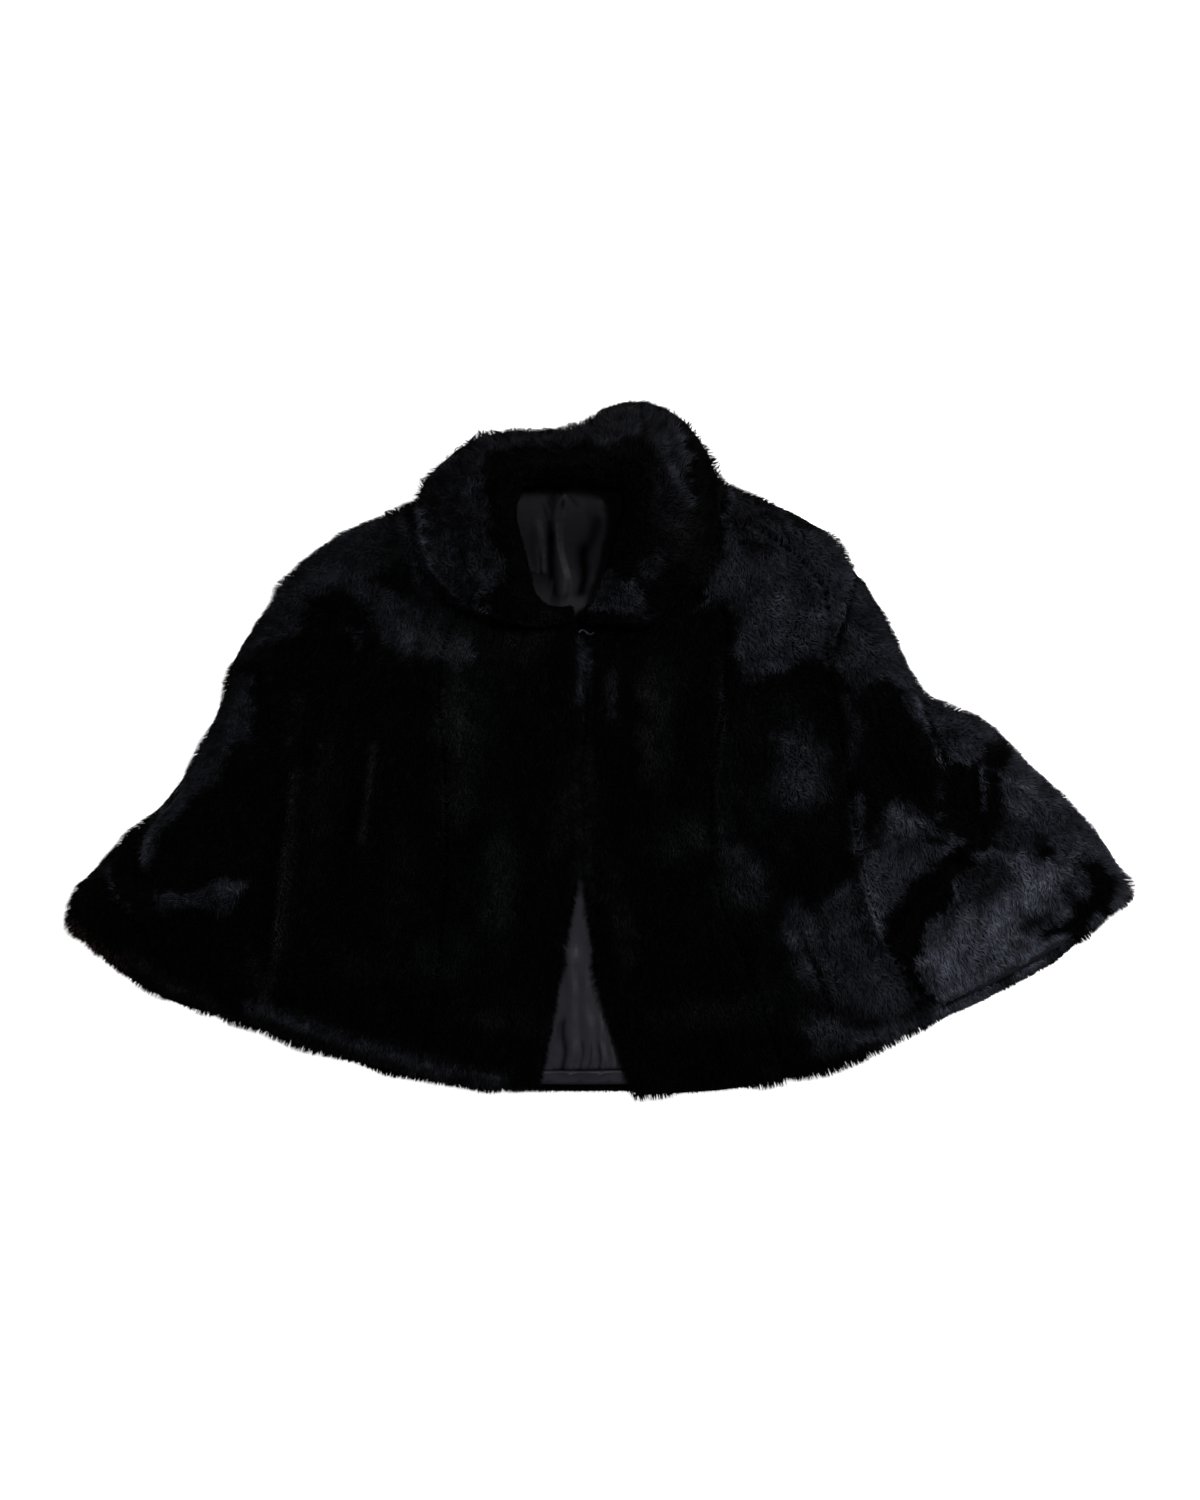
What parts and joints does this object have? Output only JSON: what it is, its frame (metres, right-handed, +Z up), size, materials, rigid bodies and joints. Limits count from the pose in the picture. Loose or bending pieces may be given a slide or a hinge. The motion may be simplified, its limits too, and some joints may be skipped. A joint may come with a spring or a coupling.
{
  "type": "fur capelet",
  "caption": "Short black fur capelet with a rolled fur collar and satin lining, hooked at the neck and laid flat on its back.",
  "frame": {"origin": "Middle of the bounding box on the floor the garment lies on", "axes": "+X to the right of someone looking down on it, +Y from hem to collar, +Z up"},
  "size_m": [0.769, 0.503, 0.066],
  "materials": {
    "fur": "dense short-pile fur, dyed black",
    "lining": "black satin with a soft sheen",
    "hook": "black-lacquered steel wire"
  },
  "bodies": {
    "root": {"back_panel": "fur", "back_lining": "lining", "back_hem_facing": "lining", "right_centre_gore": "fur", "right_side_front_gore": "fur", "right_side_gore": "fur", "left_centre_gore": "fur", "left_side_front_gore": "fur", "left_side_gore": "fur", "collar_right": "fur", "collar_left": "fur", "neck_hook": "hook"}
  },
  "joints": []
}
